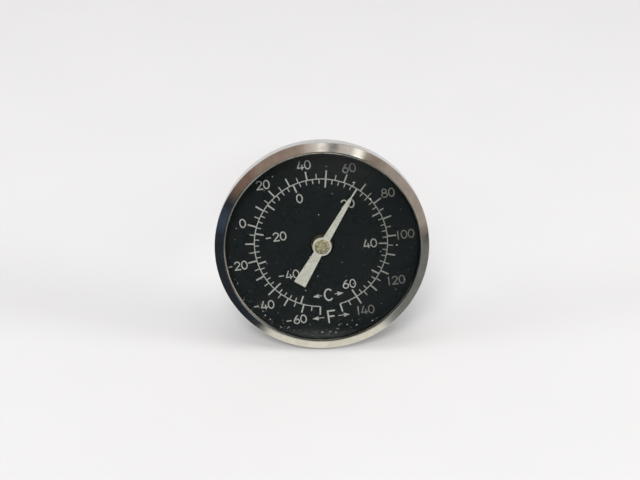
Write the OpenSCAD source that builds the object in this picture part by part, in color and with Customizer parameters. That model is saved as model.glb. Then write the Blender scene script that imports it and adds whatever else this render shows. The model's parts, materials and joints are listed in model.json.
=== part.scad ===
// Bimetal dial thermometer with a stainless head, a probe stem and a calibration nut.
// It stands as it is left on a bench: on the rim of its bezel and on the tip of its stem.
// Every piece is drawn about the instrument's own axis, with z = 0 on the face of the dial
// and z rising towards the reader. place() then leans the instrument back onto the bench.

/* [Head] */
// Outer diameter of the bezel
bezel_d = 52; // [48:0.5:60]
// Depth of the bezel's cylindrical side
bezel_side = 4.1; // [3.6:0.1:6]
// Width of the bezel's sloping front face, measured along the radius
bezel_face_w = 2.2; // [1.6:0.1:3]
// Slope of the bezel's front face
bezel_slope = 28.5; // [15:0.5:35]
// Thickness of the bezel's sheet
bezel_sheet = 0.4; // [0.3:0.05:0.4]
// Height of the bezel's front edge above the dial
bezel_edge_z = 2.7; // [2.5:0.1:3.5]
// Thickness of the lens
lens_t = 1; // [0.8:0.1:1.2]
// Clear height between the dial and the lens
lens_gap = 2.1; // [2.1:0.1:2.3]
// Thickness of the dial plate
dial_t = 0.5; // [0.3:0.1:1]
// Depth of the case behind its flange
case_depth = 9; // [8.5:0.5:14]
// Thickness of the case's sheet
case_sheet = 0.5; // [0.4:0.1:0.8]

/* [Stem] */
// Length of the stem below the calibration nut
stem_l = 100; // [80:1:230]
// Outer diameter of the stem
stem_d = 3.8; // [3.6:0.1:4.2]
// Wall of the stem tube
stem_wall = 0.3; // [0.2:0.05:0.4]
// Calibration nut, across its flats
nut_af = 11; // [10.5:0.5:14]
// Thickness of the calibration nut
nut_t = 4; // [3:0.5:7]

/* [Movement] */
// Diameter of the spindle
spindle_d = 0.8; // [0.6:0.1:1]
// Length of the wound bimetal strip
helix_l = 38; // [25:1:45]
// Number of turns in the bimetal strip
helix_turns = 20; // [12:1:24]
// Width of the bimetal strip
strip_w = 1.2; // [0.8:0.1:1.3]
// Thickness of the bimetal strip
strip_t = 0.2; // [0.15:0.05:0.25]
// Thickness of the pointer
pointer_t = 0.3; // [0.2:0.1:0.4]
// Height of the pointer's underside above the dial
pointer_z = 1.15; // [0.9:0.05:1.15]

/* [Rest] */
// Temperature that the pointer shows, in degrees Fahrenheit
reading_f = 66.2; // [-70:0.1:150]
// How far the head is rolled on its rim, anticlockwise as read
dial_roll = 8.1; // [-30:0.1:30]

/* [Hidden] */

$fn = 96;
snug = 0.02;         // gap between fixed pieces that are pressed together
running = 0.05;      // radial clearance of a shaft in its bush
cut = 1;             // how far a cutter runs past what it cuts

// Bezel: side wall, sloping face and an inner lip that rests on the lens
bezel_r = bezel_d / 2;
bezel_rear_z = bezel_edge_z - bezel_side;
rear_lip_w = 1.5;
rear_fold_r = 0.5;
lip_fold_r = 0.45;
lip_fold_at = [
    bezel_r - bezel_face_w,
    bezel_edge_z + (bezel_face_w * sin(bezel_slope) - lip_fold_r) / cos(bezel_slope)
];
edge_fold_r = 0.2;

// Lens, dial and the rings round them, from the outside in
gasket_out_r = bezel_r - bezel_sheet - snug;
gasket_w = 1.36;
gasket_in_r = gasket_out_r - gasket_w;
gasket_edge_z = bezel_edge_z - 0.45;
lens_r = gasket_in_r - snug;
lens_z = lens_gap;
lens_top_z = lens_z + lens_t;
lens_bevel = 0.12;
spacer_out_r = lens_r - snug;
spacer_in_r = spacer_out_r - 0.8;
dial_r = spacer_in_r + 0.52;
dial_hole_r = 3;

// Case cup
flange_top_z = -dial_t;
case_r = spacer_in_r + snug;
case_back_z = flange_top_z - case_depth;
case_corner_r = 2.2;
seat_r = 8.5;
seat_rise = 0.8;
seat_slope_w = 1.6;
seat_z = case_back_z - seat_rise;
groove_r = 15;
groove_w = 1.6;
groove_depth = 0.3;
bend_in = 0.2;       // how far a bend's inner corner sits from its outer one

// Calibration nut, its neck through the case, and what keeps the head on it
neck_r = 4.3;
neck_hole_r = neck_r + 0.08;
seal_t = 0.45;
body_gap = 0.05;     // axial gap between pieces that turn against each other
nut_top_z = seat_z - body_gap - seal_t;
nut_bottom_z = nut_top_z - nut_t;
nut_chamfer = 0.5;
washer_in_r = neck_r + 0.3;
washer_out_r = 7;
washer_t = 0.4;
spring_in_r = neck_r + 0.15;
spring_out_r = 6.6;
spring_h = 0.9;
spring_t = 0.25;
ring_out_r = 5.6;
ring_mouth = 3.4;
ring_t = 0.4;
washer_z = seat_z + case_sheet;
spring_z = washer_z + washer_t + body_gap;
ring_z = spring_z + spring_h;
groove_in_neck = 0.4;
neck_top_z = ring_z + ring_t + 1;

// Bearing post between the nut and the dial
post_r = 2.7;
post_bore_r = 1.2;
post_top_z = -0.2;
post_seat = 1.8;
bush_r = 1.5;
bush_l = 1.6;
spindle_r = spindle_d / 2;
bush_bore_r = spindle_r + running;

// Stem, welded to a collar below the nut and centred by a spigot inside it
stem_r = stem_d / 2;
stem_in_r = stem_r - stem_wall;
weld_collar_r = 2.5;
weld_collar_h = 0.6;
tube_top_z = nut_bottom_z - weld_collar_h;
spigot_z = tube_top_z - 3;
tip_z = nut_bottom_z - stem_l;
dome_z = tip_z + stem_r;
plug_l = 2.6;

// Bimetal helix between its anchor below and its collar above
anchor_z = dome_z + plug_l;
anchor_l = 4.6;
helix_z = anchor_z + 1.2;
helix_top_z = helix_z + helix_l;
helix_mid_r = 1.12;
helix_steps = 14;    // facets in one turn
collar_r = helix_mid_r - strip_t / 2 - snug * 2;
collar_z = helix_top_z - strip_w - 0.6;
collar_l = 4.2;
spindle_z = collar_z + 0.4;

// Bushes that centre the spindle: one just above the collar and one half way up from there
guide_l = 3;
lower_guide_z = collar_z + collar_l + 8;
upper_guide_z = (lower_guide_z + spigot_z) / 2;

// Pointer, as fractions of the radius of the scale's arc
arc_r = 0.624 * bezel_r;
boss_r = 0.142 * arc_r;
pointer_outline = [
    [0.057, 0.10], [0.0285, 0.80], [0.010, 0.865], [0.004, 1.02],
    [-0.004, 1.02], [-0.010, 0.865], [-0.0285, 0.80], [-0.057, 0.10],
    [-0.063, -0.10], [-0.095, -0.68], [0.095, -0.68], [0.063, -0.10]
];
hub_r = 1.3;
hub_spigot_r = 0.9;
hub_z = 0.15;
cap_r = 0.115 * arc_r;
cap_h = 0.45;
spindle_top_z = pointer_z + pointer_t - 0.05;

// Angle of a temperature on the dial, clockwise from the dial's own top
function scale_angle(f) = let (x = (f - 40) / 100) -4.2 + 158 * x + 3 * x * x - 1.94 * x * x * x;
pointer_angle = scale_angle(reading_f);

// Lean at which the bezel's rear edge and the stem's domed tip both touch the bench
rim_touch = [bezel_r - rear_fold_r, bezel_rear_z + rear_fold_r];
touch_span = rim_touch[1] - dome_z;
lean = acos((stem_r - rear_fold_r) / norm([rim_touch[0], touch_span])) - atan2(touch_span, rim_touch[0]);
axis_h = stem_r - dome_z * sin(lean);
front_reach = lip_fold_at[0] * sin(lean) + lip_fold_at[1] * cos(lean) + lip_fold_r;
back_reach = stem_r - dome_z * cos(lean);
axis_y = (front_reach - back_reach) / 2;

// Points of an arc from angle a to angle b about c, both ends included
function arc(c, r, a, b, n = 8) = [for (i = [0:n]) let (t = a + (b - a) * i / n) c + r * [cos(t), sin(t)]];

// Stands a piece drawn about the instrument's axis on the bench
module place() {
    translate([0, axis_y, axis_h]) rotate([90 - lean, 0, 0]) rotate([0, 0, dial_roll]) children();
}

// Plain ring between two radii, from height z up
module ring(r_in, r_out, z, h) {
    translate([0, 0, z]) difference() {
        cylinder(r = r_out, h = h);
        translate([0, 0, -cut]) cylinder(r = r_in, h = h + 2 * cut);
    }
}

// Stainless ring rolled from one sheet: rear lip, side wall, sloping face and inner lip
module bezel_ring() {
    face_tilt = 90 - bezel_slope;
    edge_at = [bezel_r - edge_fold_r, bezel_edge_z - edge_fold_r * tan(face_tilt / 2)];
    side_in_r = bezel_r - bezel_sheet;
    rear_in_z = bezel_rear_z + bezel_sheet;
    face_in_z = bezel_edge_z - bezel_sheet * (1 - sin(bezel_slope)) / cos(bezel_slope);
    outside = concat(
        [[bezel_r - rear_lip_w, bezel_rear_z]],
        arc([bezel_r - rear_fold_r, bezel_rear_z + rear_fold_r], rear_fold_r, -90, 0),
        arc(edge_at, edge_fold_r, 0, face_tilt, 4),
        arc(lip_fold_at, lip_fold_r, face_tilt, 180),
        [[lip_fold_at[0] - lip_fold_r, lens_top_z]]
    );
    inside = concat(
        [[lip_fold_at[0] - lip_fold_r + bezel_sheet, lens_top_z]],
        arc(lip_fold_at, lip_fold_r - bezel_sheet, 180, face_tilt, 3),
        [[side_in_r, face_in_z], [side_in_r, rear_in_z], [bezel_r - rear_lip_w, rear_in_z]]
    );
    color("silver") place() rotate_extrude() polygon(concat(outside, inside));
}

// Flat glass window with bevelled edges
module lens() {
    outline = [
        [0, lens_z], [lens_r - lens_bevel, lens_z], [lens_r, lens_z + lens_bevel],
        [lens_r, lens_top_z - lens_bevel], [lens_r - lens_bevel, lens_top_z], [0, lens_top_z]
    ];
    color("lightcyan", 0.35) place() rotate_extrude() polygon(outline);
}

// Rubber ring between the flange and the bezel, round the edge of the lens
module lens_gasket() {
    outline = [
        [gasket_in_r, flange_top_z], [gasket_out_r, flange_top_z],
        [gasket_out_r, gasket_edge_z], [gasket_in_r, lens_top_z]
    ];
    color("dimgray") place() rotate_extrude() polygon(outline);
}

// Dark ring that clamps the dial against the flange and carries the lens
module spacer_ring() {
    color([0.09, 0.1, 0.1]) place() ring(spacer_in_r, spacer_out_r, 0, lens_z);
}

// Black plate that carries the printed scales
module dial_plate() {
    color([0.12, 0.13, 0.13]) place() ring(dial_hole_r, dial_r, -dial_t, dial_t);
}

// Drawn cup: flange, side wall, rounded corner, pressed groove and a raised seat for the nut
module case_cup() {
    wall_in_r = case_r - case_sheet;
    corner_in_r = case_corner_r - case_sheet;
    flange_z = flange_top_z - case_sheet;
    corner = [case_r - case_corner_r, case_back_z + case_corner_r];
    slope_r = seat_r + seat_slope_w;
    back_in_z = case_back_z + case_sheet;
    outside = concat(
        [[gasket_out_r, flange_z], [case_r, flange_z]],
        arc(corner, case_corner_r, 0, -90),
        [
            [groove_r + groove_w, case_back_z], [groove_r + groove_w / 2, case_back_z + groove_depth],
            [groove_r - groove_w / 2, case_back_z + groove_depth], [groove_r - groove_w, case_back_z],
            [slope_r, case_back_z], [seat_r, seat_z], [neck_hole_r, seat_z]
        ]
    );
    inside = concat(
        [
            [neck_hole_r, seat_z + case_sheet], [seat_r - bend_in, seat_z + case_sheet],
            [slope_r - bend_in, back_in_z], [groove_r - groove_w - bend_in / 2, back_in_z],
            [groove_r - groove_w / 2 - bend_in / 2, back_in_z + groove_depth],
            [groove_r + groove_w / 2 + bend_in / 2, back_in_z + groove_depth],
            [groove_r + groove_w + bend_in / 2, back_in_z]
        ],
        arc(corner, corner_in_r, -90, 0),
        [[wall_in_r, flange_top_z], [gasket_out_r, flange_top_z]]
    );
    color("gainsboro") place() rotate_extrude() polygon(concat(outside, inside));
}

// Slippery washer that the friction spring turns on
module thrust_washer() {
    color("ivory") place() ring(washer_in_r, washer_out_r, washer_z, washer_t);
}

// Hexagonal nut with a neck through the case above it, and a collar and a spigot for the stem below
module calibration_nut() {
    post_seat_z = neck_top_z - post_seat;
    ring_groove_r = neck_r - groove_in_neck;
    corner_r = nut_af / 2 / cos(30);
    color("silver") place() difference() {
        union() {
            intersection() {
                translate([0, 0, nut_bottom_z]) cylinder(r = corner_r, h = nut_t, $fn = 6);
                rotate_extrude() polygon([
                    [0, nut_bottom_z], [corner_r - nut_chamfer, nut_bottom_z],
                    [corner_r, nut_bottom_z + nut_chamfer * tan(30)], [corner_r, nut_top_z], [0, nut_top_z]
                ]);
            }
            translate([0, 0, nut_top_z - snug]) cylinder(r = neck_r, h = neck_top_z - nut_top_z + snug);
            translate([0, 0, tube_top_z]) cylinder(r = weld_collar_r, h = weld_collar_h + snug);
            translate([0, 0, spigot_z]) cylinder(r = stem_in_r - snug, h = nut_bottom_z - spigot_z);
        }
        ring(ring_groove_r, neck_r + cut, ring_z - snug, ring_t + 2 * snug);
        translate([0, 0, post_seat_z]) cylinder(r = post_r + snug, h = post_seat + cut);
        translate([0, 0, spigot_z - cut]) cylinder(r = post_bore_r, h = neck_top_z - spigot_z + cut);
    }
}

// Flat seal between the back of the case and the nut
module back_seal() {
    color("dimgray") place() ring(neck_r + snug, nut_af / 2 - 0.3, nut_top_z, seal_t);
}

// Disc spring that presses the case against the nut, so that the head stays where it is set
module friction_spring() {
    outline = [
        [spring_in_r, spring_z + spring_h - spring_t], [spring_out_r, spring_z],
        [spring_out_r, spring_z + spring_t], [spring_in_r, spring_z + spring_h]
    ];
    color("gray") place() rotate_extrude() polygon(outline);
}

// Open ring that snaps into the neck's groove
module retaining_ring() {
    color("gray") place() difference() {
        ring(neck_r - groove_in_neck + snug, ring_out_r, ring_z, ring_t);
        translate([0, -ring_mouth / 2, ring_z - cut]) cube([ring_out_r + cut, ring_mouth, ring_t + 2 * cut]);
    }
}

// Brass post from the nut up to the dial, counterbored at its top for the bearing
module bearing_post() {
    post_z = neck_top_z - post_seat;
    color("darkgoldenrod") place() difference() {
        translate([0, 0, post_z]) cylinder(r = post_r, h = post_top_z - post_z);
        translate([0, 0, post_z - cut]) cylinder(r = post_bore_r, h = post_top_z - post_z + 2 * cut);
        translate([0, 0, post_top_z - bush_l]) cylinder(r = bush_r + snug, h = bush_l + cut);
    }
}

// Bush with a running fit on the spindle
module spindle_bush(r_out, z, l) {
    ring(bush_bore_r, r_out, z, l);
}

// Bush at the top of the bearing post
module spindle_bearing() {
    color("sienna") place() spindle_bush(bush_r, post_top_z - bush_l, bush_l);
}

// Thin tube of the stem
module stem_tube() {
    color("silver") place() ring(stem_in_r, stem_r, dome_z, tube_top_z - dome_z);
}

// Plug that closes the tube with a dome
module tip_plug() {
    outline = concat(
        arc([0, dome_z], stem_r, -90, 0),
        [
            [stem_in_r - snug, dome_z], [stem_in_r - snug, anchor_z], [0, anchor_z]
        ]
    );
    color("gainsboro") place() rotate_extrude() polygon(outline);
}

// Bush that centres the spindle half way up the stem
module upper_guide_bush() {
    color("white") place() spindle_bush(stem_in_r - snug, upper_guide_z, guide_l);
}

// Bush that centres the spindle just above the bimetal helix
module lower_guide_bush() {
    color("white") place() spindle_bush(stem_in_r - snug, lower_guide_z, guide_l);
}

// Bimetal strip wound on edge: a rectangle carried along a helix
module bimetal_helix() {
    rings = helix_turns * helix_steps;
    rise = helix_l - strip_w;
    corners = [
        [helix_mid_r - strip_t / 2, 0], [helix_mid_r + strip_t / 2, 0],
        [helix_mid_r + strip_t / 2, strip_w], [helix_mid_r - strip_t / 2, strip_w]
    ];
    points = [for (i = [0:rings]) for (c = corners)
        let (a = 360 * i / helix_steps)
        [c[0] * cos(a), c[0] * sin(a), helix_z + c[1] + rise * i / rings]];
    sides = [for (i = [0:rings - 1]) for (k = [0:3])
        [4 * i + k, 4 * i + 4 + k, 4 * i + 4 + (k + 1) % 4, 4 * i + (k + 1) % 4]];
    ends = [[0, 1, 2, 3], [for (k = [3:-1:0]) 4 * rings + k]];
    color("peru") place() polyhedron(points = points, faces = concat(ends, sides));
}

// Peg on the plug that holds the lower end of the strip
module helix_anchor() {
    color("gray") place() translate([0, 0, anchor_z]) cylinder(r = collar_r, h = anchor_l);
}

// Thin shaft from the helix up to the pointer
module spindle() {
    color("lightsteelblue") place()
        translate([0, 0, spindle_z]) cylinder(r = spindle_r, h = spindle_top_z - spindle_z);
}

// Collar on the spindle that carries the upper end of the strip
module helix_collar() {
    color("gray") place() difference() {
        translate([0, 0, collar_z]) cylinder(r = collar_r, h = collar_l);
        translate([0, 0, spindle_z]) cylinder(r = spindle_r + snug, h = collar_l);
    }
}

// Brass hub that carries the pointer on the spindle
module pointer_hub() {
    color("goldenrod") place() difference() {
        union() {
            translate([0, 0, hub_z]) cylinder(r = hub_r, h = pointer_z - hub_z);
            translate([0, 0, hub_z]) cylinder(r = hub_spigot_r, h = pointer_z + pointer_t - hub_z);
        }
        translate([0, 0, hub_z - cut]) cylinder(r = spindle_r + snug, h = spindle_top_z - hub_z + cut + snug);
    }
}

// Pointer cut from sheet, with a round boss, a needle tip and a flared tail that balances it
module pointer() {
    color("beige") place() rotate([0, 0, -pointer_angle]) translate([0, 0, pointer_z]) difference() {
        linear_extrude(pointer_t) union() {
            circle(r = boss_r);
            polygon(arc_r * pointer_outline);
        }
        translate([0, 0, -cut]) cylinder(r = hub_spigot_r + snug, h = pointer_t + 2 * cut);
    }
}

// Domed cap over the end of the spindle
module hub_cap() {
    dome_r = (cap_r * cap_r + cap_h * cap_h) / (2 * cap_h);
    cap_z = pointer_z + pointer_t;
    half_angle = asin(cap_r / dome_r);
    outline = concat([[0, cap_z]], arc([0, cap_z + cap_h - dome_r], dome_r, 90 - half_angle, 90));
    color("goldenrod") place() rotate_extrude() polygon(outline);
}

bezel_ring();
lens();
lens_gasket();
spacer_ring();
dial_plate();
case_cup();
thrust_washer();
calibration_nut();
back_seal();
friction_spring();
retaining_ring();
bearing_post();
spindle_bearing();
stem_tube();
tip_plug();
upper_guide_bush();
lower_guide_bush();
bimetal_helix();
helix_anchor();
spindle();
helix_collar();
pointer_hub();
pointer();
hub_cap();
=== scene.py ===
"""Looks of the dial thermometer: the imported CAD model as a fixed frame, its printed dial, its
materials, and a plain studio with the camera above and in front of the dial.

The dial's own frame has its origin where the pointer's axis meets the dial's face, x and y along the
printed scale's right and top, and z towards the reader. Its lengths are in millimetres, and so are
those in the materials. Everything in the row frame is in metres.
"""
import json
import math
import random

import bpy
from mathutils import Matrix, Vector
from mathutils.geometry import delaunay_2d_cdt


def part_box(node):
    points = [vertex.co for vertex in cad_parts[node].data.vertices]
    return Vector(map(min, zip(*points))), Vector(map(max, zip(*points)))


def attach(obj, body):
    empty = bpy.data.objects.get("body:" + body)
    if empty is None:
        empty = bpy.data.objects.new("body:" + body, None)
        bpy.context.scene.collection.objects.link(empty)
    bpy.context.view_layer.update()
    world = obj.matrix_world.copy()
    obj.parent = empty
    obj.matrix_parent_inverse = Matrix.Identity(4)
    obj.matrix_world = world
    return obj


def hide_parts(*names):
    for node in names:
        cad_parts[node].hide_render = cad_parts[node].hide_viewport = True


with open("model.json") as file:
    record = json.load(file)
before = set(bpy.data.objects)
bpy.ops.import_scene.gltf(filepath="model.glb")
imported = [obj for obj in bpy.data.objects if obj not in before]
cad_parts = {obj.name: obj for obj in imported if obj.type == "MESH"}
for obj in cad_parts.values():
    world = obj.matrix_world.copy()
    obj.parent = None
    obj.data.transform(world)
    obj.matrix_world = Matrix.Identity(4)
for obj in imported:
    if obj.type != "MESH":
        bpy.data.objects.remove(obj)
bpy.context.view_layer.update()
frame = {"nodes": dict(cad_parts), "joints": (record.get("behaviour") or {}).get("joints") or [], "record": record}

# ---------------------------------------------------------------- the instrument's axes and sizes
MM = 0.001
HINGE = next(j for j in frame["joints"] if j["name"] == "pointer_turn")
CENTRE = Vector(HINGE["pos_m"])
AXIS = -Vector(HINGE["axis"]).normalized()       # out of the dial, towards the reader
RIGHT = Vector((1, 0, 0))
UP = AXIS.cross(RIGHT)
LEAN = math.asin(AXIS.z)
DIAL_ROLL = math.radians(8.1)                    # the head rests rolled on its rim
DIAL_X = math.cos(DIAL_ROLL) * RIGHT + math.sin(DIAL_ROLL) * UP
DIAL_Y = math.cos(DIAL_ROLL) * UP - math.sin(DIAL_ROLL) * RIGHT

RIM_R = (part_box("bezel_ring")[1].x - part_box("bezel_ring")[0].x) / 2 / MM
ARC_R = 0.624 * RIM_R                            # radius of the scale's arc
LENS_R = (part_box("lens")[1].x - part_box("lens")[0].x) / 2 / MM
LENS_TOP = max((v.co - CENTRE).dot(AXIS) for v in frame["nodes"]["lens"].data.vertices) / MM
OPENING_R = min((v.co - CENTRE).cross(AXIS).length for v in frame["nodes"]["bezel_ring"].data.vertices
                if (v.co - CENTRE).dot(AXIS) > 0) / MM


def dial_point(x, y, z=0.0):
    """A point of the dial's own frame, in millimetres, as a point of the row frame, in metres."""
    return CENTRE + (DIAL_X * x + DIAL_Y * y + AXIS * z) * MM


# ---------------------------------------------------------------- node materials
def new_material(name, colour, roughness, metallic=0.0, **sockets):
    """A Principled material with its uniform values on the shader's own sockets."""
    material = bpy.data.materials.new(name)
    material.use_nodes = True
    shader = material.node_tree.nodes["Principled BSDF"]
    shader.inputs["Base Color"].default_value = (*colour, 1)
    shader.inputs["Roughness"].default_value = roughness
    shader.inputs["Metallic"].default_value = metallic
    for socket, value in sockets.items():
        shader.inputs[socket.replace("_", " ")].default_value = value
    return material


def shader_of(material):
    return material.node_tree.nodes["Principled BSDF"]


def add(tree, kind, **settings):
    """A new node with its own settings, such as its operation."""
    node = tree.nodes.new(kind)
    for name, value in settings.items():
        setattr(node, name, value)
    return node


def feed(tree, node, **inputs):
    """Sets or links inputs of a node. An input named in_0 is the node's first input."""
    for name, value in inputs.items():
        key = int(name[3:]) if name.startswith("in_") else name.replace("_", " ")
        if isinstance(value, bpy.types.NodeSocket):
            tree.links.new(value, node.inputs[key])
        else:
            node.inputs[key].default_value = value
    return node


def math_node(tree, operation, a, b, clamp=False):
    node = add(tree, "ShaderNodeMath", operation=operation, use_clamp=clamp)
    return feed(tree, node, in_0=a, in_1=b).outputs[0]


def vector_node(tree, operation, a, b=(0, 0, 0)):
    node = add(tree, "ShaderNodeVectorMath", operation=operation)
    feed(tree, node, in_0=a, in_1=b)
    return node.outputs["Value" if operation in ("DOT_PRODUCT", "LENGTH") else "Vector"]


def remap(tree, value, low, high, to_low=0.0, to_high=1.0):
    """Moves a value smoothly from one range to another."""
    node = add(tree, "ShaderNodeMapRange", interpolation_type="SMOOTHSTEP")
    return feed(tree, node, in_0=value, in_1=low, in_2=high, in_3=to_low, in_4=to_high).outputs[0]


def mix_colour(tree, factor, first, second):
    node = add(tree, "ShaderNodeMix", data_type="RGBA")
    feed(tree, node, in_0=factor, in_6=first, in_7=second)
    return node.outputs[2]


def noise(tree, vector, scale, detail=2.0, rough=0.5):
    node = add(tree, "ShaderNodeTexNoise")
    feed(tree, node, Vector=vector, Scale=scale, Detail=detail, Roughness=rough)
    return node.outputs["Fac"]


def bump(tree, material, height, depth_mm):
    """Relief of the given depth on the material's surface."""
    node = add(tree, "ShaderNodeBump")
    feed(tree, node, Height=height, Distance=depth_mm * MM, Strength=1.0)
    tree.links.new(node.outputs[0], shader_of(material).inputs["Normal"])


def make_dial_coordinates():
    """Node group: where a surface point is at rest in the dial's own frame, in millimetres."""
    tree = bpy.data.node_groups.new("dial_coordinates", "ShaderNodeTree")
    for name, kind in (("Point", "NodeSocketVector"), ("Radius", "NodeSocketFloat"),
                       ("Angle", "NodeSocketFloat"), ("Height", "NodeSocketFloat")):
        tree.interface.new_socket(name, in_out="OUTPUT", socket_type=kind)
    place = add(tree, "ShaderNodeTexCoord").outputs["Object"]
    from_centre = vector_node(tree, "SUBTRACT", place, tuple(CENTRE))
    x, y, z = (vector_node(tree, "DOT_PRODUCT", from_centre, tuple(axis / MM))
               for axis in (DIAL_X, DIAL_Y, AXIS))
    point = feed(tree, add(tree, "ShaderNodeCombineXYZ"), X=x, Y=y, Z=z).outputs[0]
    flat = feed(tree, add(tree, "ShaderNodeCombineXYZ"), X=x, Y=y).outputs[0]
    out = add(tree, "NodeGroupOutput")
    feed(tree, out, Point=point, Radius=vector_node(tree, "LENGTH", flat),
         Angle=math_node(tree, "ARCTAN2", y, x), Height=z)
    return tree


DIAL_COORDINATES = make_dial_coordinates()


def coordinates(tree):
    """Outputs Point, Radius, Angle and Height of a surface point in the dial's own frame."""
    return add(tree, "ShaderNodeGroup", node_tree=DIAL_COORDINATES).outputs


def turned_lines(tree, pitch_mm, wander=0.4, detail=3.0):
    """Fine rings left by spinning or polishing: noise that changes quickly along the radius and the
    axis, and slowly round them."""
    at = coordinates(tree)
    around = math_node(tree, "MULTIPLY", at["Angle"], wander)
    across = math_node(tree, "DIVIDE", at["Radius"], pitch_mm)
    along = math_node(tree, "DIVIDE", at["Height"], pitch_mm)
    vector = feed(tree, add(tree, "ShaderNodeCombineXYZ"), X=across, Y=around, Z=along).outputs[0]
    return noise(tree, vector, 1.0, detail=detail)


def drawn_lines(tree, pitch_mm):
    """Fine lines along the stem, left by drawing the tube."""
    at = coordinates(tree)
    squeeze = (1 / pitch_mm, 1 / pitch_mm, 0.02 / pitch_mm)
    return noise(tree, vector_node(tree, "MULTIPLY", at["Point"], squeeze), 1.0, detail=3.0)


def metal(name, colour, roughness, spread, lines, depth_mm, stain=0.12, stain_scale=0.35):
    """Bare metal: lines set its fine scratches, and a soft noise its cloudy handling marks."""
    material = new_material(name, colour, roughness, metallic=1.0)
    tree = material.node_tree
    scratches = lines(tree)
    cloud = noise(tree, coordinates(tree)["Point"], stain_scale, detail=4.0)
    dark = tuple(c * (1 - stain) for c in colour)
    shade = mix_colour(tree, remap(tree, cloud, 0.35, 0.65), (*dark, 1), (*colour, 1))
    both = math_node(tree, "ADD", math_node(tree, "MULTIPLY", scratches, 0.5),
                     math_node(tree, "MULTIPLY", cloud, 0.5))
    rough = remap(tree, both, 0.3, 0.7, roughness - spread, roughness + spread)
    feed(tree, shader_of(material), Base_Color=shade, Roughness=rough)
    bump(tree, material, scratches, depth_mm)
    return material


def make_bezel_steel():
    """Polished steel, with painted shade in the corner of its inner lip, left off on the left, where the lip
    catches the light.
    """
    # colour, ragged edge and radii of the painted shade round the inner lip
    lip_shade, ragged_mm = (0.150, 0.150, 0.132), 0.06
    lip_shade_from, lip_shade_to = OPENING_R + 0.20, OPENING_R + 0.42
    material = metal("bezel_steel", (0.80, 0.785, 0.76), 0.13, 0.06,
                     lambda tree: turned_lines(tree, 0.09), 0.0012)
    tree = material.node_tree
    polished = shader_of(material).inputs["Base Color"].links[0].from_socket
    at = coordinates(tree)
    patchy = noise(tree, at["Point"], 0.9, detail=3.0)
    edge = math_node(tree, "ADD", at["Radius"], remap(tree, patchy, 0.3, 0.7, -ragged_mm, ragged_mm))
    # the painted shade fades out towards the left, where the lip catches the light
    leftward = vector_node(tree, "DOT_PRODUCT", at["Point"], (-1 / RIM_R, 0.2 / RIM_R, 0))
    lit_left = remap(tree, leftward, 0.35, 0.75)
    unshaded = math_node(tree, "MAXIMUM", remap(tree, edge, lip_shade_from, lip_shade_to), lit_left)
    feed(tree, shader_of(material), Base_Color=mix_colour(tree, unshaded, (*lip_shade, 1), polished))
    return material


def make_glass():
    """Clear glass with faint smears."""
    material = new_material("window_glass", (0.97, 0.99, 0.98), 0.0, Transmission_Weight=1.0, IOR=1.5)
    tree = material.node_tree
    smear = noise(tree, coordinates(tree)["Point"], 0.12, detail=3.0)
    feed(tree, shader_of(material), Roughness=remap(tree, smear, 0.45, 0.75, 0.0, 0.03))
    return material


def make_dial_paint():
    """Satin black paint, a little cloudy and with a fine grain."""
    black, wear_and_rim_shadow = (0.0092, 0.0128, 0.0130), (0.0120, 0.0147, 0.0147)
    material = new_material("black_paint", black, 0.30, Specular_IOR_Level=0.25)
    tree = material.node_tree
    point = coordinates(tree)["Point"]
    cloud = noise(tree, point, 0.16, detail=5.0, rough=0.6)
    grain = noise(tree, point, 9.0, detail=2.0)
    shade = mix_colour(tree, remap(tree, cloud, 0.35, 0.70), (*black, 1), (*wear_and_rim_shadow, 1))
    rough = remap(tree, cloud, 0.30, 0.70, 0.24, 0.36)
    feed(tree, shader_of(material), Base_Color=shade, Roughness=rough)
    bump(tree, material, grain, 0.0006)
    return material


def make_ink():
    """Screen-printed ink with a random grain, and painted shade: darker and browner towards the right, with a
    painted shadow of the rim next to the rim there.
    """
    ink_colour, shaded_ink = (0.51, 0.51, 0.48), (0.20, 0.195, 0.175)
    material = new_material("dial_ink", ink_colour, 0.55)
    tree = material.node_tree
    at = coordinates(tree)
    side = vector_node(tree, "DOT_PRODUCT", at["Point"], (1 / ARC_R, 0, 0))
    outward = math_node(tree, "DIVIDE", at["Radius"], ARC_R)
    grain = noise(tree, at["Point"], 3.2, detail=4.0, rough=0.65)
    # painted shadow of the rim next to the rim on the right, then painted shade over the whole right side, then
    # the print's own random grain
    wear_and_rim_shadow = math_node(tree, "MULTIPLY", remap(tree, outward, 1.08, 1.22),
                     remap(tree, side, 0.0, 0.5, 0.0, 0.75))
    shade_and_grain = math_node(tree, "ADD", wear_and_rim_shadow, remap(tree, side, 0.0, 1.1, 0.0, 0.62))
    shade_and_grain = math_node(tree, "ADD", shade_and_grain, remap(tree, grain, 0.30, 0.80, -0.16, 0.16), clamp=True)
    feed(tree, shader_of(material), Base_Color=mix_colour(tree, shade_and_grain, (*ink_colour, 1), (*shaded_ink, 1)),
         Roughness=remap(tree, grain, 0.3, 0.7, 0.45, 0.65))
    bump(tree, material, grain, 0.004)
    return material


def make_pointer_paint():
    """Matt off-white paint with a fine speckle and small chips."""
    paint, speck = (0.69, 0.675, 0.60), (0.27, 0.265, 0.22)
    material = new_material("pointer_paint", paint, 0.62)
    tree = material.node_tree
    point = coordinates(tree)["Point"]
    speckle = noise(tree, point, 2.6, detail=4.0, rough=0.8)
    cloud = noise(tree, point, 0.5, detail=2.0)
    amount = math_node(tree, "ADD", remap(tree, speckle, 0.50, 0.68, 0.0, 0.80),
                       remap(tree, cloud, 0.35, 0.75, 0.0, 0.20), clamp=True)
    feed(tree, shader_of(material), Base_Color=mix_colour(tree, amount, (*paint, 1), (*speck, 1)),
         Roughness=remap(tree, speckle, 0.3, 0.7, 0.52, 0.72))
    bump(tree, material, speckle, 0.02)
    return material


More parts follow.
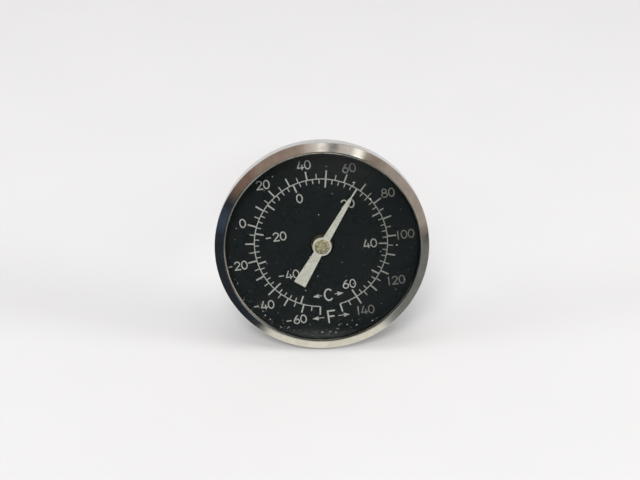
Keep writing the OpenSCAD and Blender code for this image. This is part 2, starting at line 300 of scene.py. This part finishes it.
def make_brass(name, bright, dull):
    """Dull lacquered brass, mottled where the lacquer has gone."""
    material = new_material(name, bright, 0.45, metallic=0.55)
    tree = material.node_tree
    point = coordinates(tree)["Point"]
    mottle = noise(tree, point, 1.7, detail=4.0, rough=0.65)
    shade = mix_colour(tree, remap(tree, mottle, 0.40, 0.62), (*dull, 1), (*bright, 1))
    rough = remap(tree, mottle, 0.3, 0.7, 0.62, 0.38)
    feed(tree, shader_of(material), Base_Color=shade, Roughness=rough)
    bump(tree, material, mottle, 0.05)
    return material


def make_rubber():
    """Black rubber with a grey bloom."""
    black, grey = (0.022, 0.022, 0.023), (0.075, 0.073, 0.07)
    material = new_material("rubber_seal", black, 0.75)
    tree = material.node_tree
    bloom = noise(tree, coordinates(tree)["Point"], 1.4, detail=4.0)
    shade = mix_colour(tree, remap(tree, bloom, 0.4, 0.75), (*black, 1), (*grey, 1))
    feed(tree, shader_of(material), Base_Color=shade, Roughness=remap(tree, bloom, 0.3, 0.7, 0.65, 0.88))
    bump(tree, material, bloom, 0.02)
    return material


def make_bush_plastic():
    """Off-white plastic, turned on a lathe."""
    material = new_material("bush_plastic", (0.82, 0.81, 0.77), 0.48)
    tree = material.node_tree
    marks = turned_lines(tree, 0.12)
    shade = mix_colour(tree, marks, (0.74, 0.73, 0.68, 1), (0.88, 0.87, 0.84, 1))
    feed(tree, shader_of(material), Base_Color=shade, Roughness=remap(tree, marks, 0.3, 0.7, 0.4, 0.56))
    bump(tree, material, marks, 0.01)
    return material


def make_materials():
    """One material for each slot of the record."""
    return {
        "bezel_steel": make_bezel_steel(),
        "case_steel": metal("case_steel", (0.62, 0.615, 0.60), 0.27, 0.08,
                            lambda tree: turned_lines(tree, 0.55, wander=0.9, detail=5.0), 0.006,
                            stain=0.07, stain_scale=0.12),
        "stem_steel": metal("stem_steel", (0.66, 0.655, 0.64), 0.20, 0.05,
                            lambda tree: drawn_lines(tree, 0.16), 0.003,
                            stain=0.05, stain_scale=0.10),
        "inner_steel": metal("inner_steel", (0.55, 0.55, 0.55), 0.35, 0.08,
                             lambda tree: turned_lines(tree, 0.10), 0.003),
        "bimetal": metal("bimetal", (0.52, 0.47, 0.42), 0.38, 0.08,
                         lambda tree: turned_lines(tree, 0.10), 0.003),
        "window_glass": make_glass(),
        "rubber_seal": make_rubber(),
        "black_paint": make_dial_paint(),
        "dial_ink": make_ink(),
        "pointer_paint": make_pointer_paint(),
        "brass": make_brass("brass", (0.80, 0.74, 0.53), (0.40, 0.35, 0.19)),
        "bush_plastic": make_bush_plastic(),
    }


MATERIALS = make_materials()


def finish_nodes():
    """Every CAD node takes the material of its slot, the bearing post's brass is darker, and the
    glass casts no shadow."""
    slots = {row["node"]: row["material_slot"] for row in frame["record"]["subparts"]}
    for name, node in frame["nodes"].items():
        node.data.materials.clear()
        node.data.materials.append(MATERIALS[slots[name]])
    # the bearing post's brass is much darker than the other brass
    dark_post_brass = make_brass("brass_dark_post", (0.16, 0.135, 0.085), (0.07, 0.06, 0.04))
    frame["nodes"]["bearing_post"].data.materials[0] = dark_post_brass
    frame["nodes"]["lens"].visible_shadow = False


def add_piece(name, points, faces, body, slot, smooth=False):
    """A mesh piece from points in the row frame, riding on a CAD body."""
    mesh = bpy.data.meshes.new(name)
    mesh.from_pydata(points, [], faces)
    mesh.validate()
    mesh.polygons.foreach_set("use_smooth", [smooth] * len(mesh.polygons))
    mesh.materials.append(MATERIALS[slot])
    piece = bpy.data.objects.new(name, mesh)
    bpy.context.scene.collection.objects.link(piece)
    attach(piece, body)
    return piece


# ---------------------------------------------------------------- the printed dial
# Sizes of the print are fractions of the arc's radius.
LINE_W, MAJOR_W = 0.014, 0.022                   # widths of the arc and minor ticks, and major ticks
F_MINOR, F_MAJOR = 1.080, 1.134                  # outer ends of the Fahrenheit ticks
C_MINOR, C_MAJOR = 0.930, 0.872                  # inner ends of the Celsius ticks
F_GAP, C_GAP = 0.015, -0.028                     # from a major tick's end outwards to its number
# Degrees that a number stands off its tick, and how far outwards it is moved
F_NUDGES = {-60: (2, 0), -40: (-3, 0), 40: (0, 0.018), 60: (-0.4, -0.016), 100: (0, -0.006),
            120: (1.6, -0.008)}
C_NUDGES = {60: (-1, 0.024)}
DIGIT_H, DIGIT_W, DIGIT_PITCH, STROKE = 0.124, 0.088, 0.106, 0.0175
INK_TOP_MM, INK_ROOT_MM = 0.018, -0.010          # the ink's prism starts inside the plate
PRINT_OFF = Vector((-0.011, 0.023))              # the print stands a little off the pointer's axis


def scale_angle(fahrenheit):
    """Angle of a temperature, clockwise from the dial's own top, in radians. The scale isn't quite
    even, and this cubic follows it."""
    x = (fahrenheit - 40) / 100
    return math.radians(-4.2 + 158 * x + 3 * x ** 2 - 1.94 * x ** 3)


def to_fahrenheit(celsius):
    return 1.8 * celsius + 32


def polar(angle, radius):
    return Vector((math.sin(angle), math.cos(angle))) * radius


def disc(centre, radius):
    sides = 10
    return [centre + polar(math.tau * i / sides, radius) for i in range(sides)]


def bar(a, b, width):
    """Outline of a straight stroke with square ends."""
    along = (b - a).normalized() * width / 2
    side = Vector((-along.y, along.x))
    return [a + side, b + side, b - side, a - side]


def stroke(points, width):
    """Outlines that together make a line through the points, round at its ends and bends."""
    bars = [bar(a, b, width) for a, b in zip(points, points[1:])]
    return bars + [disc(p, width / 2) for p in points]


def oval(cx, cy, rx, ry, start=0, stop=360, steps=22):
    """Points of an ellipse's arc between two angles in degrees, anticlockwise from its right."""
    angles = [math.radians(start + (stop - start) * i / steps) for i in range(steps + 1)]
    return [Vector((cx + rx * math.cos(a), cy + ry * math.sin(a))) for a in angles]


def line(*points):
    return [Vector(p) for p in points]


# Strokes of each character in a box that is 1 wide and 1 high
GLYPHS = {
    "0": [oval(0.50, 0.50, 0.47, 0.50)],
    "1": [line((0.20, 0.0), (0.20, 1.0))],
    "2": [oval(0.50, 0.72, 0.42, 0.28, 165, -32, 14) + line((0.04, 0.0), (0.98, 0.0))],
    "4": [line((0.46, 1.0), (0.0, 0.22), (1.04, 0.22)), line((0.74, 0.52), (0.74, 0.0))],
    "6": [oval(0.50, 0.30, 0.45, 0.30), line((0.08, 0.40), (0.22, 0.62), (0.46, 0.86), (0.74, 1.0))],
    "8": [oval(0.50, 0.27, 0.46, 0.27), oval(0.50, 0.77, 0.37, 0.23)],
    "-": [line((0.0, 0.48), (0.72, 0.48))],
    "C": [oval(0.54, 0.50, 0.50, 0.50, 48, 312, 18)],
    "F": [line((0.14, 0.0), (0.14, 1.0), (0.94, 1.0)), line((0.14, 0.53), (0.80, 0.53))],
}


def advances(text, pitch):
    """Distance from each character to the next: a 1 is narrow."""
    narrow = 0.62
    return [pitch * (narrow if character == "1" else 1) for character in text[:-1]]


def label_width(text):
    return sum(advances(text, DIGIT_PITCH)) + DIGIT_W


def lettering(text, centre, height, width, pitch, weight):
    """Outlines of a line of characters, upright on the dial, about a centre."""
    steps = advances(text, pitch)
    at = centre - Vector((sum(steps) + width, height)) / 2
    outlines = []
    for character, step in zip(text, steps + [0]):
        for path in GLYPHS[character]:
            outlines += stroke([at + Vector((p.x * width, p.y * height)) for p in path], weight)
        at.x += step
    return outlines


def numeral(value, angle, edge, side):
    """A number whose box stands clear of a tick's end, outside (side 1) or inside (side -1)."""
    text = str(value)
    half = Vector((label_width(text) / 2, DIGIT_H / 2))
    support = half.x * abs(math.sin(angle)) + half.y * abs(math.cos(angle))
    centre = polar(angle, edge + side * support)
    return lettering(text, centre, DIGIT_H, DIGIT_W, DIGIT_PITCH, STROKE)


def numerals(values, to_scale, edge, side, nudges):
    """All the numbers of a scale."""
    outlines = []
    for value in values:
        turn, out = nudges.get(value, (0, 0))
        angle = scale_angle(to_scale(value)) + math.radians(turn)
        outlines += numeral(value, angle, edge + out, side)
    return outlines


def scale_arc():
    """The arc on which both scales stand, as one closed outline."""
    steps = 180
    low, high = scale_angle(-70), scale_angle(150)
    angles = [low + (high - low) * i / steps for i in range(steps + 1)]
    outer = [polar(a, 1 + LINE_W / 2) for a in angles]
    inner = [polar(a, 1 - LINE_W / 2) for a in reversed(angles)]
    return [outer + inner]


def ticks(temperatures, to_scale, minor_end, major_end):
    """Radial strokes from the arc, longer and wider at every tenth degree."""
    outlines = []
    for value in temperatures:
        major = value % 10 == 0
        angle = scale_angle(to_scale(value))
        end, width = (major_end, MAJOR_W) if major else (minor_end, LINE_W)
        outlines.append(bar(polar(angle, 1), polar(angle, end), width))
    return outlines


def arrow(tail, tip):
    """A thin shaft and a solid barbed head, along x."""
    head, barb, half, shaft_w = 0.085, 0.014, 0.034, 0.011
    way = math.copysign(1, tip.x - tail.x)
    neck, back, y = tip.x - way * head, tip.x - way * (head + barb), tip.y
    wedge = line(tip, (back, y + half), (neck, y), (back, y - half))
    return [bar(tail, Vector((neck, y)), shaft_w), wedge]


def unit_mark(letter, height, width, y, inner, outer):
    """A unit's letter between two arrows that point to its scale's ends."""
    letter_x, weight = 0.004, 0.024
    outlines = lettering(letter, Vector((letter_x, y)), height, width, 0, weight)
    for way in (-1, 1):
        outlines += arrow(Vector((way * inner, y)), Vector((way * outer, y)))
    return outlines


def anticlockwise(outline):
    """The outline's points in the order that the triangulation takes as a filled area."""
    area = sum(a.x * b.y - b.x * a.y for a, b in zip(outline, outline[1:] + outline[:1]))
    return outline if area > 0 else outline[::-1]


def print_on_dial(name, outlines):
    """Joins flat outlines into one printed area and raises it from the dial by the ink's height."""
    outlines = [anticlockwise(outline) for outline in outlines]
    corners = [(p + PRINT_OFF) * ARC_R for outline in outlines for p in outline]
    loops, start = [], 0
    for outline in outlines:
        loops.append(list(range(start, start + len(outline))))
        start += len(outline)
    flat, _, triangles, _, _, sources = delaunay_2d_cdt(corners, [], loops, 1, 1e-6)
    triangles = [list(t) for t, source in zip(triangles, sources) if source]
    used = sorted({i for t in triangles for i in t})
    number = {old: new for new, old in enumerate(used)}
    count = len(used)
    top = [[number[i] for i in t] for t in triangles]
    edges = {(t[k], t[(k + 1) % len(t)]) for t in top for k in range(len(t))}
    walls = [[a + count, b + count, b, a] for a, b in sorted(edges) if (b, a) not in edges]
    bottom = [[i + count for i in reversed(t)] for t in top]
    points = [dial_point(flat[i].x, flat[i].y, z) for z in (INK_TOP_MM, INK_ROOT_MM) for i in used]
    add_piece(name, points, top + walls + bottom, "head", "dial_ink")


def print_dial():
    print_on_dial("scale_arc", scale_arc())
    print_on_dial("fahrenheit_ticks", ticks(range(-70, 151, 5), float, F_MINOR, F_MAJOR))
    print_on_dial("celsius_ticks", ticks(range(-50, 61, 2), to_fahrenheit, C_MINOR, C_MAJOR))
    print_on_dial("fahrenheit_numerals",
                  numerals(range(-60, 141, 20), float, F_MAJOR + F_GAP, 1, F_NUDGES))
    print_on_dial("celsius_numerals",
                  numerals(range(-40, 61, 20), to_fahrenheit, C_MAJOR + C_GAP, -1, C_NUDGES))
    print_on_dial("celsius_mark",
                  unit_mark("C", height=0.180, width=0.125, y=-0.820, inner=0.098, outer=0.236))
    print_on_dial("fahrenheit_mark",
                  unit_mark("F", height=0.187, width=0.130, y=-1.175, inner=0.108, outer=0.290))


# ---------------------------------------------------------------- small formed pieces
def add_hub_cap():
    """The cap on the pointer's boss: a dome that is a little lumpy and dimpled."""
    low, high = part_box("hub_cap")
    radius = (high.x - low.x) / 2 / MM
    heights = [(v.co - CENTRE).dot(AXIS) / MM for v in frame["nodes"]["hub_cap"].data.vertices]
    base, top = min(heights), max(heights)
    rings, sides = 12, 48
    skirt = 0.12                                 # the upright edge's share of the height
    bulge = 0.93                                 # the dome ends at this share of a sphere's radius
    lumpiness = 0.016                            # share of the radius
    dimple_depth, dimple_at = 0.05, 0.35         # shares of the height and of the radius
    dimple_sharpness, dimple_turn = 4, 0.6       # how narrow it is, and its place round the cap
    draw = random.Random(7)
    lobes = [(draw.uniform(0.4, 1.0), draw.uniform(0, math.tau), k) for k in (2, 3, 5)]
    points, faces = [], []
    for i in range(rings + 1):
        share = i / rings
        drop = (1 - math.sqrt(1 - (bulge * share) ** 2)) / (1 - math.sqrt(1 - bulge ** 2))
        ring_dimple = dimple_depth * math.exp(-((share - dimple_at) * dimple_sharpness) ** 2)
        for k in range(sides):
            angle = math.tau * k / sides
            lump = sum(size * math.sin(n * angle + turn) for size, turn, n in lobes) * lumpiness
            r = min(radius * share * (1 + lump * share), radius)
            dimple = ring_dimple * (1 + math.sin(angle + dimple_turn))
            z = top - (top - base) * (1 - skirt) * drop - dimple * (1 - share) * (top - base)
            points.append(dial_point(r * math.cos(angle), r * math.sin(angle), z))
    rim = rings * sides
    for point in points[rim:]:
        points.append(point - AXIS * ((point - CENTRE).dot(AXIS) - base * MM))
    points.append(dial_point(0, 0, base))
    for i in range(rings + 1):
        for k in range(sides):
            a, b = i * sides + k, i * sides + (k + 1) % sides
            faces.append([a, a + sides, b + sides, b])
    foot, middle = rim + sides, rim + 2 * sides
    faces += [[foot + k, middle, foot + (k + 1) % sides] for k in range(sides)]
    piece = add_piece("hub_cap_dome", points, faces, "movement", "brass", smooth=True)
    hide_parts("hub_cap")


def add_dust():
    """Specks of dust on the glass, most of them near its lower edge."""
    dark, pale = (0.30, 0.30, 0.28), (0.78, 0.78, 0.74)
    material = new_material("dust", (0.62, 0.62, 0.58), 0.9)
    tree = material.node_tree
    tone = noise(tree, coordinates(tree)["Point"], 0.6, detail=2.0)
    shade = mix_colour(tree, remap(tree, tone, 0.35, 0.65), (*dark, 1), (*pale, 1))
    feed(tree, shader_of(material), Base_Color=shade)
    specks, sides, low_edge_share = 190, 6, 0.62
    lift, thickness, top_share = 0.001, 0.02, 0.6
    smallest, spread, rarity = 0.036, 0.095, 3.5     # of the specks' radii: large ones are rare
    draw = random.Random(21)
    points, faces = [], []
    # r is a share of the lens's radius, and the dial's foot is at 270 degrees
    for _ in range(specks):
        if draw.random() < low_edge_share:
            r, angle = draw.triangular(0.80, 0.955, 0.95), math.radians(draw.gauss(252, 34))
        else:
            r, angle = math.sqrt(draw.uniform(0.0, 0.85)), math.radians(draw.uniform(0, 360))
        x, y = LENS_R * r * math.cos(angle), LENS_R * r * math.sin(angle)
        size = smallest + spread * draw.random() ** rarity
        stretch, turn = draw.uniform(0.8, 1.6), draw.uniform(0, math.pi)
        first = len(points)
        for z, share in ((LENS_TOP + lift, 1.0), (LENS_TOP + thickness, top_share)):
            for k in range(sides):
                a = math.tau * k / sides
                reach = size * share * draw.uniform(0.75, 1.1)
                u, v = reach * stretch * math.cos(a), reach * math.sin(a)
                points.append(dial_point(x + u * math.cos(turn) - v * math.sin(turn),
                                         y + u * math.sin(turn) + v * math.cos(turn), z))
        lower = list(range(first, first + sides))
        upper = list(range(first + sides, first + 2 * sides))
        faces += [lower[::-1], upper]
        for k in range(sides):
            following = (k + 1) % sides
            faces.append([lower[k], lower[following], upper[following], upper[k]])
    piece = add_piece("lens_dust", points, faces, "head", "window_glass")
    piece.data.materials[0] = material


# ---------------------------------------------------------------- studio
def direction(azimuth, elevation):
    """A direction from the part: azimuth 0 is ahead of it, along -Y, and 90 is along +X."""
    a, e = math.radians(azimuth), math.radians(elevation)
    return Vector((math.sin(a) * math.cos(e), -math.cos(a) * math.cos(e), math.sin(e)))


# Soft patches of the surroundings: azimuth, elevation, radius, softness (degrees) and linear colour.
# Each one covers those before it.
SURROUNDINGS = {
    "room_behind": (180, 6, 62, 50, (0.70, 0.70, 0.70)),
    "door_behind": (222, 12, 13, 9, (0.13, 0.13, 0.14)),
    "window_behind": (150, 20, 13, 8, (1.15, 1.18, 1.22)),
    "ceiling_behind": (180, 52, 40, 24, (0.22, 0.22, 0.23)),
    "open_room_ahead": (-8, -2, 58, 22, (0.030, 0.034, 0.038)),
    "far_wall": (3, 4.5, 5, 5, (0.27, 0.26, 0.26)),
    "dark_left": (-60, -20, 38, 10, (0.022, 0.027, 0.034)),
    "right_wall": (58, 18, 32, 16, (0.39, 0.335, 0.29)),
    "right_gap": (62, -10, 8, 8, (0.045, 0.042, 0.042)),
    "right_low": (60, -29, 22, 10, (0.185, 0.190, 0.175)),
    "upper_left_wall": (-28, 48, 25, 10, (0.31, 0.225, 0.185)),
    "upper_left_corner": (-54, 28, 8, 10, (0.19, 0.12, 0.09)),
    "blue_gap": (-58, 4, 5, 7, (0.045, 0.062, 0.095)),
    "ceiling": (10, 64, 15, 6, (0.62, 0.56, 0.50)),
    "ceiling_edge": (42, 46, 8, 8, (0.25, 0.19, 0.155)),
    "ceiling_gap": (12, 56.5, 2.8, 2.5, (0.20, 0.21, 0.205)),
    "ceiling_lamp": (1.5, 57.5, 1.8, 2.5, (1.5, 1.5, 1.42)),
    "lamp_reflection": (33, 49, 2.6, 3, (1.6, 1.55, 1.4)),
    "overhead_lamp": (180, 82, 12, 10, (1.25, 1.25, 1.20)),
    "table_ahead": (1, -27, 18, 0.8, (0.55, 0.58, 0.52)),
    "table": (11, -72, 26, 6, (0.82, 0.79, 0.68)),
}


def make_world():
    """Soft patches that light the part and that its steel reflects. The camera itself sees a plain
    backdrop in their place."""
    world = bpy.data.worlds.new("studio")
    bpy.context.scene.world = world
    world.use_nodes = True
    tree = world.node_tree
    way = add(tree, "ShaderNodeTexCoord").outputs["Generated"]
    height = vector_node(tree, "DOT_PRODUCT", way, (0, 0, 1))
    below, above = (0.74, 0.74, 0.73, 1), (0.92, 0.92, 0.92, 1)
    colour = mix_colour(tree, remap(tree, height, -0.4, 0.6), below, above)
    for azimuth, elevation, radius, soft, tint in SURROUNDINGS.values():
        towards = vector_node(tree, "DOT_PRODUCT", way, tuple(direction(azimuth, elevation)))
        outside = math.cos(math.radians(radius + soft / 2))
        inside = math.cos(math.radians(max(radius - soft / 2, 0)))
        colour = mix_colour(tree, remap(tree, towards, outside, inside), colour, (*tint, 1))
    seen = add(tree, "ShaderNodeLightPath").outputs["Is Camera Ray"]
    backdrop = (0.86, 0.86, 0.86, 1)
    tree.links.new(mix_colour(tree, seen, colour, backdrop), tree.nodes["Background"].inputs["Color"])


def add_floor():
    """A plain pale floor, which reflections don't show."""
    half = 4.0
    mesh = bpy.data.meshes.new("floor")
    corners = [(-half, -half, 0), (half, -half, 0), (half, half, 0), (-half, half, 0)]
    mesh.from_pydata(corners, [], [(0, 1, 2, 3)])
    material = new_material("floor", (0.65, 0.65, 0.655), 0.85)
    tree = material.node_tree
    tone = noise(tree, add(tree, "ShaderNodeTexCoord").outputs["Object"], 18.0, detail=3.0)
    shade = mix_colour(tree, tone, (0.635, 0.635, 0.64, 1), (0.665, 0.665, 0.67, 1))
    feed(tree, shader_of(material), Base_Color=shade)
    mesh.materials.append(material)
    floor = bpy.data.objects.new("floor", mesh)
    floor.visible_glossy = floor.visible_transmission = False
    bpy.context.scene.collection.objects.link(floor)


def add_light(name, place, size, power):
    """A square soft light that shines at the dial and shows in no reflection."""
    lamp = bpy.data.lights.new(name, "AREA")
    lamp.size, lamp.energy = size, power
    light = bpy.data.objects.new(name, lamp)
    light.location = place
    light.rotation_euler = (CENTRE - Vector(place)).to_track_quat("-Z", "Y").to_euler()
    light.visible_camera = False
    light.visible_glossy = light.visible_transmission = False
    bpy.context.scene.collection.objects.link(light)


def add_camera():
    """Looks down on the dial from above its axis and a little to the left."""
    pitch, yaw = math.radians(16.69), math.radians(1.493)
    face_lift_mm = 0.33                          # the glass makes the dial look this much nearer
    # Where the middle of the face is in the camera's own axes, 17.9 arc radii ahead of it
    face_seen_at = Vector((0.029, -0.076, -17.939)) * ARC_R * MM
    turn = Matrix.Rotation(math.pi / 2 - LEAN - pitch, 4, "X") @ Matrix.Rotation(-yaw, 4, "Y")
    data = bpy.data.cameras.new("camera")
    data.angle = math.radians(30)
    data.clip_start, data.clip_end = 0.01, 20
    camera = bpy.data.objects.new("camera", data)
    face = CENTRE + AXIS * face_lift_mm * MM
    camera.matrix_world = Matrix.Translation(face - turn @ face_seen_at) @ turn
    bpy.context.scene.collection.objects.link(camera)
    bpy.context.scene.camera = camera


finish_nodes()
print_dial()
add_hub_cap()
add_dust()
make_world()
add_floor()
add_light("overhead", place=(0.0, -0.1, 1.1), size=0.9, power=3.4)
add_light("front", place=(-0.55, -2.7, 2.7), size=1.4, power=97)
add_light("right", place=(1.5, -0.35, 0.5), size=0.5, power=13)
add_light("left", place=(-1.5, -0.35, 0.5), size=0.5, power=7)
add_camera()
bpy.context.scene.view_settings.view_transform = "Standard"
